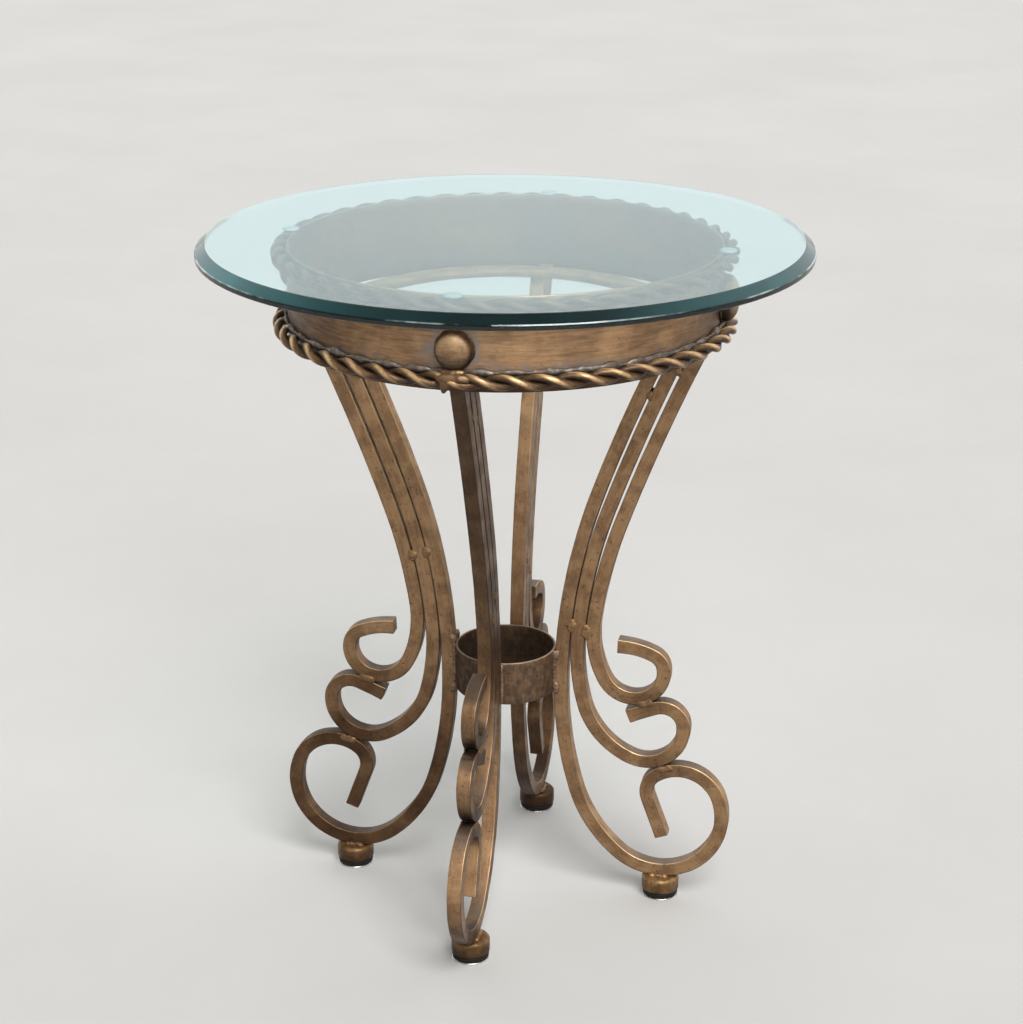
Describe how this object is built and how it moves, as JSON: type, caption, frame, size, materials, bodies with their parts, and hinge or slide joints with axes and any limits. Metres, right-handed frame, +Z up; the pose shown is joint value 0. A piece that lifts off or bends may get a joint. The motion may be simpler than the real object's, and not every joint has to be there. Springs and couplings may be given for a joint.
{
  "type": "round end table",
  "caption": "Round end table: a loose bevelled glass top on a welded iron frame of scrolled square bars, with a rope-trimmed apron band, a waist collar and rubber-cushioned feet.",
  "frame": {"origin": "on the floor, on the table's centre line, at the middle of the four feet", "axes": "+Z up; the legs stand on +X, +Y, -X and -Y, numbered 1 to 4 in that order"},
  "size_m": [0.5588, 0.5588, 0.654],
  "materials": {
    "green_glass": "clear float glass with a green edge, polished, bevelled",
    "aged_bronze": "antique bronze and gold paint over iron, brushed and speckled, worn bright on the edges",
    "dark_bronze": "the same paint laid thin over dark iron, rough",
    "clear_pad": "clear soft vinyl bumper",
    "black_rubber": "plain black rubber",
    "nickel_plate": "nickel plate, scuffed"
  },
  "bodies": {
    "frame": {"apron_band": "aged_bronze", "upper_rope_rod_a": "aged_bronze", "upper_rope_rod_b": "aged_bronze", "lower_rope_rod_a": "aged_bronze", "lower_rope_rod_b": "aged_bronze", "tie_ring": "dark_bronze", "waist_collar": "dark_bronze", "inner_bar_1": "aged_bronze", "middle_bar_1": "aged_bronze", "outer_bar_1": "aged_bronze", "stud_1": "aged_bronze", "glass_pad_1": "clear_pad", "foot_bun_1": "aged_bronze", "foot_cushion_1": "black_rubber", "foot_base_1": "nickel_plate", "foot_stem_1": "nickel_plate", "inner_bar_2": "aged_bronze", "middle_bar_2": "aged_bronze", "outer_bar_2": "aged_bronze", "stud_2": "aged_bronze", "glass_pad_2": "clear_pad", "foot_bun_2": "aged_bronze", "foot_cushion_2": "black_rubber", "foot_base_2": "nickel_plate", "foot_stem_2": "nickel_plate", "inner_bar_3": "aged_bronze", "middle_bar_3": "aged_bronze", "outer_bar_3": "aged_bronze", "stud_3": "aged_bronze", "glass_pad_3": "clear_pad", "foot_bun_3": "aged_bronze", "foot_cushion_3": "black_rubber", "foot_base_3": "nickel_plate", "foot_stem_3": "nickel_plate", "inner_bar_4": "aged_bronze", "middle_bar_4": "aged_bronze", "outer_bar_4": "aged_bronze", "stud_4": "aged_bronze", "glass_pad_4": "clear_pad", "foot_bun_4": "aged_bronze", "foot_cushion_4": "black_rubber", "foot_base_4": "nickel_plate", "foot_stem_4": "nickel_plate"},
    "top": {"glass_top": "green_glass"}
  },
  "joints": [
    {"name": "glass_lift", "type": "slide", "parent": "frame", "child": "top", "axis": [0, 0, 1], "range_m": [0, 0.15]}
  ]
}
